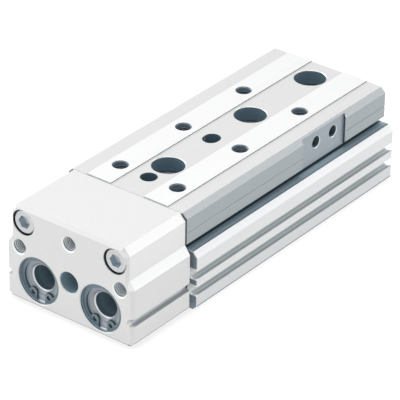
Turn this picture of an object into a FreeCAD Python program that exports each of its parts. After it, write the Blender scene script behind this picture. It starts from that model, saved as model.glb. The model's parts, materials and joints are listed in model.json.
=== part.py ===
import FreeCAD, Part
import math
import os

from FreeCAD import Vector

# All sizes are in millimetres. X runs across the table, Y runs back from the front block, Z is up.
# The origin is under the middle of the retracted table, in the face that it stands on.

# Travel
stroke = 50.0
end_play = 0.3

# Housing: an extruded body with two cylinders and two sensor slots along each side
housing_width = 66.0
housing_length = 132.4
housing_height = 26.2
foot_chamfer = 1.9
shoulder_inset = 2.1
shoulder_drop = 2.4
end_edge_break = 0.3
slot_diameter = 5.1
slot_opening = 3.8
slot_lip = 0.5
lower_slot_height = 9.05
upper_slot_height = 16.3

# Cylinders
bore_spacing = 31.0
bore_height = 12.75
cylinder_bore = 16.0
seat_bore = 20.0
bearing_seat_depth = 26.0
rod_diameter = 8.0
piston_length = 26.0
piston_clearance = 0.25
seal_clearance = 0.1
buffer_thickness = 3.0
rear_buffer_diameter = 11.2
seal_groove_width = 2.6
seal_groove_depth = 2.2
magnet_width = 5.0
band_width = 4.0
spigot_diameter = 5.0

# Circlips and the grooves that they sit in
circlip_thickness = 1.0
circlip_side_play = 0.1
circlip_groove_depth = 0.5
circlip_setback = 1.6
circlip_width = 1.8
circlip_offset = 0.4
lug_radius = 2.1
lug_inset = 2.0
lug_angle = 29.0
lug_hole = 2.0
lug_gap_clearance = 0.3

# Seats of the parts that close the bores
seat_clearance = 0.05
seat_edge = 0.5
ring_groove_width = 2.4
ring_groove_depth = 1.8
wiper_diameter = 14.0
wiper_depth = 4.0
wiper_lip = 0.9
wiper_hollow = 0.6
cap_dish_depth = 1.5
cap_dish_diameter = 10.0

# Front block
yoke_depth = 35.3
yoke_gap = 2.3
yoke_lift = 0.6
yoke_width = 63.0
yoke_upper_width = 58.1
yoke_step_height = 3.5
yoke_top_chamfer = 2.8
yoke_face_chamfer = 1.3
yoke_back_edge_break = 0.5
yoke_groove_height = 11.85
yoke_groove_opening = 3.4
yoke_groove_depth = 2.8
front_thread_spacing = 50.0
front_thread_height = 24.75
front_top_thread_drop = 7.95
front_thread_depth = 14.0
front_thread_mouth = 7.2
centring_height = 18.2
centring_diameter = 9.0
centring_depth = 12.0
mouth_chamfer = 0.3

# Rod heads, held in the front block by a washer and a circlip
head_bore = 20.0
head_bore_depth = 17.0
rod_passage = 12.0
head_bore_chamfer = 0.4
rod_slot_width = 1.2
washer_thickness = 3.6
washer_hole = 10.6
washer_chamfer = 1.3
head_socket_depth = 7.0
head_hub_diameter = 11.0
head_hub_length = 6.0

# Screws that fasten the slide to the front block
screw_diameter = 6.0
screw_length = 40.0
screw_head_diameter = 10.0
screw_head_height = 6.0
screw_head_setback = 0.6
screw_hex = 5.0
screw_hex_depth = 3.0
screw_spacing = 45.2
screw_drop = 6.89
counterbore_diameter = 11.0
screw_clearance = 0.3
fit_clearance = 0.05
screw_edge = 0.5
screw_point = 0.8

# Slide: a channel whose plate carries the load and whose legs run on the balls
slide_length = 133.0
slide_width = 58.86
plate_thickness = 6.35
land_rise = 0.4
land_inner = 8.2
land_outer = 20.1
slide_edge_inset = 2.18
slide_edge_drop = 2.15
slide_side_drop = 13.25
slide_foot_width = 53.5
leg_clearance = 1.2
slide_line_drop = 8.45
slide_line_size = 0.3
slide_corner_radius = 0.8
running_clearance = 0.5

# Holes in the slide
thread_diameter = 6.0
thread_mouth = 6.8
table_thread_spacing = 28.5
table_thread_pitch = 40.0
table_thread_front = 13.4
access_diameter = 13.5
table_centring_diameter = 7.0
table_centring_depth = 4.0
table_slot_length = 8.0
side_pocket_front = 75.4
side_pocket_length = 30.0
side_pocket_depth = 1.5
side_pocket_radius = 2.5
side_pocket_drop = 0.25
side_thread_diameter = 5.0
side_thread_mouth = 5.6
side_thread_front = 10.9
side_thread_pitch = 11.6
side_thread_drop = 5.95
side_thread_depth = 8.0

# Guide rail on top of the housing, its screws and the ball cages
rail_width = 29.4
rail_height = 10.2
rail_chamfer = 0.8
stop_thickness = 2.0
stop_height = 8.4
stop_screw_spacing = 16.0
stop_screw_diameter = 2.5
stop_screw_head = 4.7
stop_screw_length = 7.0
rail_screw_spacing = 11.0
rail_screw_front = 10.8
rail_screw_diameter = 4.0
rail_screw_length = 11.0
rail_screw_head_diameter = 7.0
rail_screw_head_height = 4.0
rail_screw_hex = 3.0
rail_screw_hex_depth = 1.8
rail_screw_sink = 0.4
ball_diameter = 4.0
ball_gap = 3.1
ball_pitch = 7.0
ball_clearance = 0.15
cage_thickness = 1.8
cage_height = 7.0
cage_margin = 0.8
cage_end = 3.5

# Holes that fasten the housing to a machine
base_hole_front = 23.3
base_hole_first_pitch = 53.5
base_hole_second_pitch = 41.2
base_hole_diameter = 6.8
base_hole_mouth = 8.4
rail_access_diameter = 11.0
base_centring_diameter = 9.0
base_centring_depth = 3.0
port_diameter = 5.0
port_face = 8.0
port_face_depth = 0.4
port_depth = 8.0
port_spacing = 11.9

# Places along Y that follow from the sizes above
overall_length = yoke_depth + yoke_gap + housing_length
yoke_front = -overall_length / 2
yoke_back = yoke_front + yoke_depth
housing_front = yoke_back + yoke_gap
housing_back = housing_front + housing_length
slide_back = yoke_back + slide_length
circlip_room = circlip_setback + circlip_thickness + circlip_side_play
cylinder_front = housing_front + bearing_seat_depth
cylinder_back = cylinder_front + stroke + piston_length + 2 * (buffer_thickness + end_play)
piston_back = cylinder_back - buffer_thickness - end_play
piston_front = piston_back - piston_length
washer_front = yoke_front + circlip_setback + circlip_thickness
washer_back = washer_front + washer_thickness
head_seat = yoke_front + head_bore_depth
screw_front = yoke_front + screw_head_setback
rail_front = housing_front + stop_thickness
rail_back = housing_back - stop_thickness
cage_front = rail_front + stroke / 2 + cage_margin
cage_back = slide_back - stroke / 2 - cage_margin
front_base_hole = housing_front + base_hole_front
middle_base_hole = front_base_hole + base_hole_first_pitch
rear_base_hole = middle_base_hole + base_hole_second_pitch
base_hole_places = (front_base_hole, middle_base_hole, rear_base_hole)
base_centring_places = ((front_base_hole + middle_base_hole) / 2, (middle_base_hole + rear_base_hole) / 2)
rail_screw_places = (housing_front + rail_screw_front,) + base_centring_places
table_rows = [yoke_back + table_thread_front + row * table_thread_pitch for row in range(3)]
pocket_front = yoke_back + side_pocket_front
side_thread_places = [pocket_front + side_thread_front + row * side_thread_pitch for row in range(2)]

# Places across X and up Z that follow from the sizes above
bore_x = bore_spacing / 2
rail_top = housing_height + rail_height
plate_bottom = rail_top + running_clearance
slide_strip_height = plate_bottom + plate_thickness
land_top = slide_strip_height + land_rise
screw_height = slide_strip_height - screw_drop
leg_bottom = housing_height + leg_clearance
ball_x = rail_width / 2 + ball_gap / 2
ball_z = housing_height + rail_height / 2
leg_inner = rail_width / 2 + ball_gap
raceway_radius = ball_diameter / 2 + ball_clearance
rail_screw_seat = rail_screw_head_height + rail_screw_sink
port_heights = (bore_height - port_spacing / 2, bore_height + port_spacing / 2)
sides = (("left", -1), ("right", 1))


def save(name, shape):
    shape.exportStep("parts/" + name + ".step")


def cylinder_y(x, y, z, diameter, length):
    return Part.makeCylinder(diameter / 2, length, Vector(x, y, z), Vector(0, 1, 0))


def hole_down(x, y, top, diameter, depth):
    return Part.makeCylinder(diameter / 2, depth, Vector(x, y, top), Vector(0, 0, -1))


def hole_up(x, y, bottom, diameter, depth):
    return Part.makeCylinder(diameter / 2, depth, Vector(x, y, bottom), Vector(0, 0, 1))


def mouth(place, direction, wide, narrow):
    """A 90 degree countersink that starts wide at a face and closes to the hole."""
    depth = (wide - narrow) / 2
    return Part.makeCone(wide / 2, narrow / 2, depth, place, direction)


def turned(outline, x, z):
    """A solid turned about a line along Y; the outline is a list of (y, radius)."""
    points = [Vector(x + radius, y, z) for y, radius in outline]
    face = Part.Face(Part.makePolygon(points + points[:1]))
    return face.revolve(Vector(x, 0, z), Vector(0, 1, 0), 360)


def ring_y(x, y, z, outer, inner, length):
    return turned([(y, inner / 2), (y, outer / 2), (y + length, outer / 2), (y + length, inner / 2)], x, z)


def rounded_wire(corners, y):
    """A closed wire in a plane across Y; each corner is (x, z, radius), with radius 0 where sharp."""
    points = [Vector(x, y, z) for x, z, radius in corners]
    starts = []
    middles = []
    ends = []
    for index, here in enumerate(points):
        radius = corners[index][2]
        back = (points[index - 1] - here).normalize()
        ahead = (points[(index + 1) % len(points)] - here).normalize()
        half_angle = back.getAngle(ahead) / 2
        setback = radius / math.tan(half_angle)
        starts.append(here + back * setback)
        ends.append(here + ahead * setback)
        bisector = (back + ahead).normalize() if radius else back
        middles.append(here + bisector * (radius / math.sin(half_angle) - radius))
    edges = []
    for index in range(len(points)):
        if corners[index][2]:
            edges.append(Part.Arc(starts[index], middles[index], ends[index]).toShape())
        edges.append(Part.LineSegment(ends[index], starts[(index + 1) % len(points)]).toShape())
    return Part.Wire(edges)


def symmetric_bar(half, y, length):
    """A bar along Y whose section is the right half given, from the bottom up, and its mirror image."""
    other_half = [(-x, z, radius) for x, z, radius in reversed(half)]
    return Part.Face(rounded_wire(half + other_half, y)).extrude(Vector(0, length, 0))


def hexagon(width, depth):
    """A hexagonal plug under the origin, for screw sockets."""
    radius = width / math.sqrt(3)
    points = []
    for corner in range(6):
        angle = math.radians(60 * corner)
        points.append(Vector(radius * math.cos(angle), radius * math.sin(angle), 0))
    return Part.Face(Part.makePolygon(points + points[:1])).extrude(Vector(0, 0, -depth))


def socket_screw(diameter, length, head_diameter, head_height, hex_width, hex_depth):
    """A cap screw that points down, with the top of its head at the origin."""
    rim = head_diameter / 2
    head = Part.makeCylinder(rim, head_height - screw_edge, Vector(0, 0, -head_height))
    head = head.fuse(Part.makeCone(rim, rim - screw_edge, screw_edge, Vector(0, 0, -screw_edge)))
    end = -head_height - length
    shank = Part.makeCylinder(diameter / 2, length - screw_point, Vector(0, 0, end + screw_point))
    point = Part.makeCone(diameter / 2 - screw_point, diameter / 2, screw_point, Vector(0, 0, end))
    screw = head.fuse([shank, point]).removeSplitter()
    return screw.cut(hexagon(hex_width, hex_depth))


def circlip_groove(x, z, front, bore):
    """The groove for a circlip whose front side is at the given place along Y."""
    return cylinder_y(x, front, z, bore + 2 * circlip_groove_depth, circlip_thickness + circlip_side_play)


def circlip(x, z, front, bore):
    """An internal circlip: an open ring, widest at the top, with two drilled lugs at the bottom."""
    outer = bore / 2 + circlip_groove_depth - fit_clearance
    inner = outer - circlip_width - circlip_offset
    lug_reach = bore / 2 - lug_inset
    lug_x = lug_reach * math.sin(math.radians(lug_angle))
    lug_z = z - lug_reach * math.cos(math.radians(lug_angle))
    gap_half = lug_x - lug_radius + lug_gap_clearance
    ring = cylinder_y(x, front, z, 2 * outer, circlip_thickness)
    ring = ring.cut(cylinder_y(x, front, z - circlip_offset, 2 * inner, circlip_thickness))
    lugs = []
    cuts = []
    for name, side in sides:
        lugs.append(cylinder_y(x + side * lug_x, front, lug_z, 2 * lug_radius, circlip_thickness))
        cuts.append(cylinder_y(x + side * lug_x, front, lug_z, lug_hole, circlip_thickness))
    gap_corner = Vector(x - gap_half, front, z - inner / 2 - bore)
    cuts.append(Part.makeBox(2 * gap_half, circlip_thickness, bore, gap_corner))
    return ring.fuse(lugs).removeSplitter().cut(cuts)


def front_edges(shape, front):
    """The edges that lie in the plane across Y at the front of a bar."""
    return [edge for edge in shape.Edges if edge.BoundBox.YMax < front + 0.001]


def back_edges(shape, back):
    return [edge for edge in shape.Edges if edge.BoundBox.YMin > back - 0.001]


def sensor_slot(side, middle):
    """A round slot along one side of the housing, open to the outside between two thin lips."""
    half_opening = slot_opening / 2
    face = side * housing_width / 2
    middle_depth = slot_lip + math.sqrt((slot_diameter / 2) ** 2 - half_opening ** 2)
    x = face - side * middle_depth
    corner = Vector(min(x, face), housing_front, middle - half_opening)
    opening = Part.makeBox(middle_depth, housing_length, slot_opening, corner)
    return [opening, cylinder_y(x, housing_front, middle, slot_diameter, housing_length)]


def housing():
    side = housing_width / 2
    half = [
        (side - foot_chamfer, 0, 0),
        (side, foot_chamfer, 0),
        (side, housing_height - shoulder_drop, 0),
        (side - shoulder_inset, housing_height, 0),
    ]
    body = symmetric_bar(half, housing_front, housing_length)
    ends = front_edges(body, housing_front) + back_edges(body, housing_back)
    body = body.makeChamfer(end_edge_break, ends)
    cuts = []
    for name, side in sides:
        x = side * bore_x
        cuts += sensor_slot(side, lower_slot_height) + sensor_slot(side, upper_slot_height)
        cuts.append(cylinder_y(x, housing_front, bore_height, cylinder_bore, housing_length))
        cuts.append(cylinder_y(x, housing_front, bore_height, seat_bore, bearing_seat_depth))
        cuts.append(cylinder_y(x, cylinder_back, bore_height, seat_bore, housing_back - cylinder_back))
        cuts.append(circlip_groove(x, bore_height, housing_front + circlip_setback, seat_bore))
        rear_groove = housing_back - circlip_setback - circlip_thickness - circlip_side_play
        cuts.append(circlip_groove(x, bore_height, rear_groove, seat_bore))
        for y in rail_screw_places:
            depth = rail_screw_length - rail_height + rail_screw_seat + end_play
            place = (side * rail_screw_spacing / 2, y, housing_height)
            cuts.append(hole_down(*place, rail_screw_diameter + 2 * fit_clearance, depth))
    for y in base_hole_places:
        cuts.append(hole_up(0, y, 0, base_hole_diameter, housing_height))
        cuts.append(mouth(Vector(0, y, 0), Vector(0, 0, 1), base_hole_mouth, base_hole_diameter))
    for y in base_centring_places:
        cuts.append(hole_up(0, y, 0, base_centring_diameter, base_centring_depth))
    for z in port_heights:
        cuts.append(cylinder_y(0, housing_back - port_depth, z, port_diameter, port_depth))
        cuts.append(cylinder_y(0, housing_back - port_face_depth, z, port_face, port_face_depth))
    return body.cut(cuts)


def guide_rail():
    half_width = rail_width / 2
    half = [
        (half_width, housing_height, 0),
        (half_width, rail_top - rail_chamfer, 0),
        (half_width - rail_chamfer, rail_top, 0),
    ]
    rail = symmetric_bar(half, rail_front, rail_back - rail_front)
    cuts = []
    for name, side in sides:
        cuts.append(cylinder_y(side * ball_x, rail_front, ball_z, 2 * raceway_radius, rail_back - rail_front))
        for y in rail_screw_places:
            x = side * rail_screw_spacing / 2
            head_room = rail_screw_head_diameter + 2 * screw_clearance
            cuts.append(hole_down(x, y, rail_top, head_room, rail_screw_seat))
            cuts.append(hole_down(x, y, rail_top, rail_screw_diameter + 2 * screw_clearance, rail_height))
        x = side * stop_screw_spacing / 2
        depth = stop_screw_length - stop_thickness + end_play
        diameter = stop_screw_diameter + 2 * fit_clearance
        cuts.append(cylinder_y(x, rail_front, ball_z, diameter, depth))
        cuts.append(cylinder_y(x, rail_back - depth, ball_z, diameter, depth))
    for y in base_hole_places:
        cuts.append(hole_down(0, y, rail_top, rail_access_diameter, rail_height))
    return rail.cut(cuts)


def guide_rail_screws():
    screws = []
    for name, side in sides:
        for y in rail_screw_places:
            screw = socket_screw(
                rail_screw_diameter, rail_screw_length, rail_screw_head_diameter,
                rail_screw_head_height, rail_screw_hex, rail_screw_hex_depth,
            )
            screw.translate(Vector(side * rail_screw_spacing / 2, y, rail_top - rail_screw_sink))
            screws.append(screw)
    return Part.makeCompound(screws)


def cage_stop(outer_face, direction):
    """A plate screwed on one end of the rail, across the ends of both raceways."""
    half_width = ball_x + cage_thickness / 2
    bottom = ball_z - stop_height / 2
    near = min(outer_face, outer_face + direction * stop_thickness)
    plate = Part.makeBox(2 * half_width, stop_thickness, stop_height, Vector(-half_width, near, bottom))
    cuts = []
    for name, side in sides:
        x = side * stop_screw_spacing / 2
        place = Vector(x, outer_face, ball_z)
        shank = stop_screw_diameter + 2 * fit_clearance
        cuts.append(Part.makeCylinder(shank / 2, stop_thickness, place, Vector(0, direction, 0)))
        cuts.append(mouth(place, Vector(0, direction, 0), stop_screw_head + 2 * fit_clearance, shank))
    return plate.cut(cuts)


def cage_stop_screws():
    """Countersunk screws, two in each cage stop."""
    screws = []
    cone = (stop_screw_head - stop_screw_diameter) / 2
    for outer_face, direction in ((housing_front, 1), (housing_back, -1)):
        for name, side in sides:
            outline = [
                (outer_face, 0),
                (outer_face, stop_screw_head / 2),
                (outer_face + direction * cone, stop_screw_diameter / 2),
                (outer_face + direction * stop_screw_length, stop_screw_diameter / 2),
                (outer_face + direction * stop_screw_length, 0),
            ]
            screws.append(turned(outline, side * stop_screw_spacing / 2, ball_z))
    return Part.makeCompound(screws)


def ball_places():
    """Where the balls of one cage are along Y."""
    room = cage_back - cage_front - 2 * cage_end
    gaps = int(room // ball_pitch)
    first = (cage_front + cage_back - gaps * ball_pitch) / 2
    return [first + index * ball_pitch for index in range(gaps + 1)]


def ball_cage(side):
    corner = Vector(side * ball_x - cage_thickness / 2, cage_front, ball_z - cage_height / 2)
    cage = Part.makeBox(cage_thickness, cage_back - cage_front, cage_height, corner)
    pocket = ball_diameter + 2 * ball_clearance
    pockets = []
    for y in ball_places():
        place = Vector(corner.x, y, ball_z)
        pockets.append(Part.makeCylinder(pocket / 2, cage_thickness, place, Vector(1, 0, 0)))
    return cage.cut(pockets)


def balls(side):
    places = [Vector(side * ball_x, y, ball_z) for y in ball_places()]
    return Part.makeCompound([Part.makeSphere(ball_diameter / 2, place) for place in places])


def rod_bearing(x):
    """The bush that guides one rod and closes the front of its cylinder."""
    front = housing_front + circlip_room
    outer = seat_bore / 2 - seat_clearance
    inner = rod_diameter / 2 + seal_clearance
    groove = (front + cylinder_front) / 2 - ring_groove_width / 2
    outline = [
        (front, wiper_diameter / 2),
        (front, outer - seat_edge),
        (front + seat_edge, outer),
        (groove, outer),
        (groove, outer - ring_groove_depth),
        (groove + ring_groove_width, outer - ring_groove_depth),
        (groove + ring_groove_width, outer),
        (cylinder_front, outer),
        (cylinder_front, inner),
        (front + wiper_depth, inner),
        (front + wiper_depth, wiper_diameter / 2),
    ]
    return turned(outline, x, bore_height)


def bearing_ring(x):
    """The seal ring in the groove around a rod bearing."""
    front = housing_front + circlip_room
    middle = (front + cylinder_front) / 2
    start = middle - ring_groove_width / 2 + fit_clearance
    inner = seat_bore - 2 * seat_clearance - 2 * ring_groove_depth + 2 * fit_clearance
    length = ring_groove_width - 2 * fit_clearance
    return ring_y(x, start, bore_height, seat_bore - 2 * fit_clearance, inner, length)


def rod_seal(x):
    """The wiper and seal ring in the front of a rod bearing, with a lip around the rod."""
    front = housing_front + circlip_room
    outer = wiper_diameter / 2 - fit_clearance
    inner = rod_diameter / 2 + seal_clearance
    outline = [
        (front + wiper_hollow, inner + wiper_lip),
        (front, inner + wiper_lip),
        (front, outer),
        (front + wiper_depth, outer),
        (front + wiper_depth, inner + wiper_lip),
        (front + wiper_depth - wiper_lip, inner),
        (front + wiper_hollow + wiper_lip, inner),
    ]
    return turned(outline, x, bore_height)


def front_buffer(x):
    inner = rod_diameter + 2 * piston_clearance
    outer = cylinder_bore - 2 * seal_clearance
    return ring_y(x, cylinder_front, bore_height, outer, inner, buffer_thickness)


def rear_buffer(x):
    front = cylinder_back - buffer_thickness
    return cylinder_y(x, front, bore_height, rear_buffer_diameter, buffer_thickness)


def end_cap(x):
    """The plug that closes the rear of a cylinder, with a seal groove and a shallow dished face."""
    back = housing_back - circlip_room
    outer = seat_bore / 2 - seat_clearance
    groove = (cylinder_back + back) / 2 - ring_groove_width / 2
    dish = cap_dish_diameter / 2
    outline = [
        (cylinder_back, 0),
        (cylinder_back, outer),
        (groove, outer),
        (groove, outer - ring_groove_depth),
        (groove + ring_groove_width, outer - ring_groove_depth),
        (groove + ring_groove_width, outer),
        (back - seat_edge, outer),
        (back, outer - seat_edge),
        (back, dish),
        (back - cap_dish_depth, dish - seat_edge),
        (back - cap_dish_depth, 0),
    ]
    return turned(outline, x, bore_height)


def end_cap_ring(x):
    """The seal ring in the groove around an end cap."""
    middle = (cylinder_back + housing_back - circlip_room) / 2
    start = middle - ring_groove_width / 2 + fit_clearance
    inner = seat_bore - 2 * seat_clearance - 2 * ring_groove_depth + 2 * fit_clearance
    length = ring_groove_width - 2 * fit_clearance
    return ring_y(x, start, bore_height, seat_bore - 2 * fit_clearance, inner, length)


def yoke_groove(side):
    """A groove with a round floor along one side of the front block."""
    half_opening = yoke_groove_opening / 2
    face = side * yoke_width / 2
    straight = yoke_groove_depth - half_opening
    x = face - side * straight
    corner = Vector(min(x, face), yoke_front, yoke_groove_height - half_opening)
    return [
        Part.makeBox(straight, yoke_depth, yoke_groove_opening, corner),
        cylinder_y(x, yoke_front, yoke_groove_height, yoke_groove_opening, yoke_depth),
    ]


def yoke():
    """The front block, bored for the rod heads and drilled for the load and the slide's screws."""
    half_low = yoke_width / 2
    half_high = yoke_upper_width / 2
    half = [
        (half_low - foot_chamfer, yoke_lift, 0),
        (half_low, yoke_lift + foot_chamfer, 0),
        (half_low, housing_height, 0),
        (half_high, housing_height + yoke_step_height, 0),
        (half_high, slide_strip_height - yoke_top_chamfer, 0),
        (half_high - yoke_top_chamfer, slide_strip_height, 0),
    ]
    block = symmetric_bar(half, yoke_front, yoke_depth)
    block = block.makeChamfer(yoke_face_chamfer, front_edges(block, yoke_front))
    block = block.makeChamfer(yoke_back_edge_break, back_edges(block, yoke_back))
    into = Vector(0, 1, 0)
    cuts = []
    for name, side in sides:
        cuts += yoke_groove(side)
        x = side * bore_x
        cuts.append(cylinder_y(x, yoke_front, bore_height, head_bore, head_bore_depth))
        cuts.append(circlip_groove(x, bore_height, yoke_front + circlip_setback, head_bore))
        wide = head_bore + 2 * head_bore_chamfer
        cuts.append(mouth(Vector(x, yoke_front, bore_height), into, wide, head_bore))
        cuts.append(cylinder_y(x, yoke_front, bore_height, rod_passage, yoke_depth))
        x = side * screw_spacing / 2
        head_room = screw_head_setback + screw_head_height
        cuts.append(cylinder_y(x, yoke_front, screw_height, counterbore_diameter, head_room))
        cuts.append(cylinder_y(x, yoke_front, screw_height, screw_diameter + 2 * screw_clearance, yoke_depth))
    threads = [(side * front_thread_spacing / 2, front_thread_height) for name, side in sides]
    threads.append((0, slide_strip_height - front_top_thread_drop))
    for x, z in threads:
        cuts.append(cylinder_y(x, yoke_front, z, thread_diameter, front_thread_depth))
        cuts.append(mouth(Vector(x, yoke_front, z), into, front_thread_mouth, thread_diameter))
    cuts.append(cylinder_y(0, yoke_front, centring_height, centring_diameter, centring_depth))
    wide = centring_diameter + 2 * mouth_chamfer
    cuts.append(mouth(Vector(0, yoke_front, centring_height), into, wide, centring_diameter))
    return block.cut(cuts)


def yoke_screws():
    screws = []
    for name, side in sides:
        screw = socket_screw(
            screw_diameter, screw_length, screw_head_diameter, screw_head_height, screw_hex, screw_hex_depth
        )
        screw.rotate(Vector(0, 0, 0), Vector(1, 0, 0), 90)
        screw.translate(Vector(side * screw_spacing / 2, screw_front, screw_height))
        screws.append(screw)
    return Part.makeCompound(screws)


def retaining_washer(x):
    """The washer behind the front circlip, with a wide chamfer round its hole."""
    outer = head_bore / 2 - seat_clearance
    inner = washer_hole / 2
    outline = [
        (washer_front, inner + washer_chamfer),
        (washer_front, outer),
        (washer_back, outer),
        (washer_back, inner),
        (washer_front + washer_chamfer, inner),
    ]
    return turned(outline, x, bore_height)


def rod_head(x):
    """The cup on the end of a rod, with an open socket to the front and a hub round the rod."""
    outer = head_bore / 2 - piston_clearance
    groove = (washer_back + head_seat) / 2 - ring_groove_width / 2
    groove_floor = outer - ring_groove_depth
    hub_back = head_seat + head_hub_length
    outline = [
        (washer_back, washer_hole / 2),
        (washer_back, outer),
        (groove, outer),
        (groove, groove_floor),
        (groove + ring_groove_width, groove_floor),
        (groove + ring_groove_width, outer),
        (head_seat, outer),
        (head_seat, head_hub_diameter / 2),
        (hub_back, head_hub_diameter / 2),
        (hub_back, rod_diameter / 2 + fit_clearance),
        (washer_back + head_socket_depth, rod_diameter / 2 + fit_clearance),
        (washer_back + head_socket_depth, washer_hole / 2),
    ]
    return turned(outline, x, bore_height)


def float_ring(x):
    """The elastic ring round a rod head, which lets it float a little in the front block."""
    middle = (washer_back + head_seat) / 2
    start = middle - ring_groove_width / 2 + fit_clearance
    inner = head_bore - 2 * piston_clearance - 2 * ring_groove_depth + 2 * fit_clearance
    length = ring_groove_width - 2 * fit_clearance
    return ring_y(x, start, bore_height, head_bore - 2 * fit_clearance, inner, length)


def piston_rod(x):
    """A ground rod with a slotted front end and a thin spigot through its piston."""
    front = washer_back + head_socket_depth
    outline = [
        (front, 0),
        (front, rod_diameter / 2 - seat_edge),
        (front + seat_edge, rod_diameter / 2),
        (piston_front, rod_diameter / 2),
        (piston_front, spigot_diameter / 2),
        (piston_back, spigot_diameter / 2),
        (piston_back, 0),
    ]
    corner = Vector(x - rod_diameter / 2, front, bore_height - rod_slot_width / 2)
    slot = Part.makeBox(rod_diameter, rod_slot_width, rod_slot_width, corner)
    return turned(outline, x, bore_height).cut(slot)


def piston_groove_places():
    """Front edges of the grooves for the front seal, magnet, guide band and rear seal."""
    widths = (seal_groove_width, magnet_width, band_width, seal_groove_width)
    land = (piston_length - sum(widths)) / (len(widths) + 1)
    places = []
    y = piston_front
    for width in widths:
        y += land
        places.append((y, width))
        y += width
    return places


def piston(x):
    outer = cylinder_bore / 2 - piston_clearance
    outline = [(piston_front, spigot_diameter / 2 + fit_clearance), (piston_front, outer)]
    for place, width in piston_groove_places():
        outline += [(place, outer), (place, outer - seal_groove_depth)]
        outline += [(place + width, outer - seal_groove_depth), (place + width, outer)]
    outline += [(piston_back, outer), (piston_back, spigot_diameter / 2 + fit_clearance)]
    return turned(outline, x, bore_height)


def piston_band(x, groove):
    """A ring that fills one groove of the piston and stands a little proud of it."""
    place, width = piston_groove_places()[groove]
    inner = cylinder_bore - 2 * piston_clearance - 2 * seal_groove_depth + 2 * fit_clearance
    outer = cylinder_bore - 2 * seal_clearance
    return ring_y(x, place + fit_clearance, bore_height, outer, inner, width - 2 * fit_clearance)


def slide():
    """The channel that carries the load: lands on top, raceways inside its legs, and its holes."""
    side = slide_width / 2
    line_middle = slide_strip_height - slide_line_drop
    half = [
        (leg_inner, plate_bottom, slide_corner_radius),
        (leg_inner, leg_bottom, 0),
        (slide_foot_width / 2, leg_bottom, 0),
        (side, slide_strip_height - slide_side_drop, 0),
        (side, line_middle - slide_line_size, 0),
        (side - slide_line_size, line_middle, 0),
        (side, line_middle + slide_line_size, 0),
        (side, slide_strip_height - slide_edge_drop, 0),
        (side - slide_edge_inset, slide_strip_height, 0),
        (land_outer, slide_strip_height, 0),
        (land_outer, land_top, 0),
        (land_inner, land_top, 0),
        (land_inner, slide_strip_height, 0),
    ]
    body = symmetric_bar(half, yoke_back, slide_length)
    body = body.makeChamfer(end_edge_break, back_edges(body, slide_back))
    down = Vector(0, 0, -1)
    cuts = []
    for name, direction in sides:
        cuts.append(cylinder_y(direction * ball_x, yoke_back, ball_z, 2 * raceway_radius, slide_length))
        depth = screw_front + screw_head_height + screw_length + end_play - yoke_back
        x = direction * screw_spacing / 2
        cuts.append(cylinder_y(x, yoke_back, screw_height, screw_diameter + 2 * fit_clearance, depth))
        x = direction * table_thread_spacing / 2
        for y in table_rows:
            cuts.append(hole_down(x, y, land_top, thread_diameter, land_top - plate_bottom))
            cuts.append(mouth(Vector(x, y, land_top), down, thread_mouth, thread_diameter))
        cuts.append(side_pocket(direction))
        cuts += side_threads(direction)
    for y in base_hole_places:
        cuts.append(hole_down(0, y, slide_strip_height, access_diameter, slide_strip_height - plate_bottom))
        wide = access_diameter + 2 * mouth_chamfer
        cuts.append(mouth(Vector(0, y, slide_strip_height), down, wide, access_diameter))
    front_row = table_rows[0]
    cuts.append(hole_down(0, front_row, slide_strip_height, table_centring_diameter, table_centring_depth))
    cuts.append(table_slot(table_rows[1]))
    return body.cut(cuts)


def table_slot(y):
    """The locating slot in the middle strip, long along Y."""
    reach = (table_slot_length - table_centring_diameter) / 2
    ends = [
        hole_down(0, y - reach, slide_strip_height, table_centring_diameter, table_centring_depth),
        hole_down(0, y + reach, slide_strip_height, table_centring_diameter, table_centring_depth),
    ]
    corner = Vector(-table_centring_diameter / 2, y - reach, slide_strip_height - table_centring_depth)
    middle = Part.makeBox(table_centring_diameter, 2 * reach, table_centring_depth, corner)
    return middle.fuse(ends).removeSplitter()


def side_pocket(direction):
    """The shallow milled flat in one side of the slide, open at the bottom."""
    floor = slide_width / 2 - side_pocket_depth
    pocket_top = slide_strip_height - side_pocket_drop
    height = pocket_top - housing_height
    corner = Vector(floor, pocket_front, housing_height)
    box = Part.makeBox(2 * side_pocket_depth, side_pocket_length, height, corner)
    top_edges = []
    for edge in box.Edges:
        limits = edge.BoundBox
        if limits.ZMin > pocket_top - 0.001 and limits.YLength < 0.001:
            top_edges.append(edge)
    box = box.makeFillet(side_pocket_radius, top_edges)
    if direction < 0:
        box = box.mirror(Vector(0, 0, 0), Vector(1, 0, 0))
    return box


def side_threads(direction):
    """The two threaded holes in a side pocket."""
    cuts = []
    floor = direction * (slide_width / 2 - side_pocket_depth)
    inward = Vector(-direction, 0, 0)
    for y in side_thread_places:
        place = Vector(floor, y, slide_strip_height - side_thread_drop)
        cuts.append(Part.makeCylinder(side_thread_diameter / 2, side_thread_depth, place, inward))
        cuts.append(mouth(place, inward, side_thread_mouth, side_thread_diameter))
    return cuts


save("housing", housing())
save("guide_rail", guide_rail())
save("guide_rail_screws", guide_rail_screws())
save("front_cage_stop", cage_stop(housing_front, 1))
save("rear_cage_stop", cage_stop(housing_back, -1))
save("cage_stop_screws", cage_stop_screws())
save("yoke", yoke())
save("yoke_screws", yoke_screws())
save("slide", slide())

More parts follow.
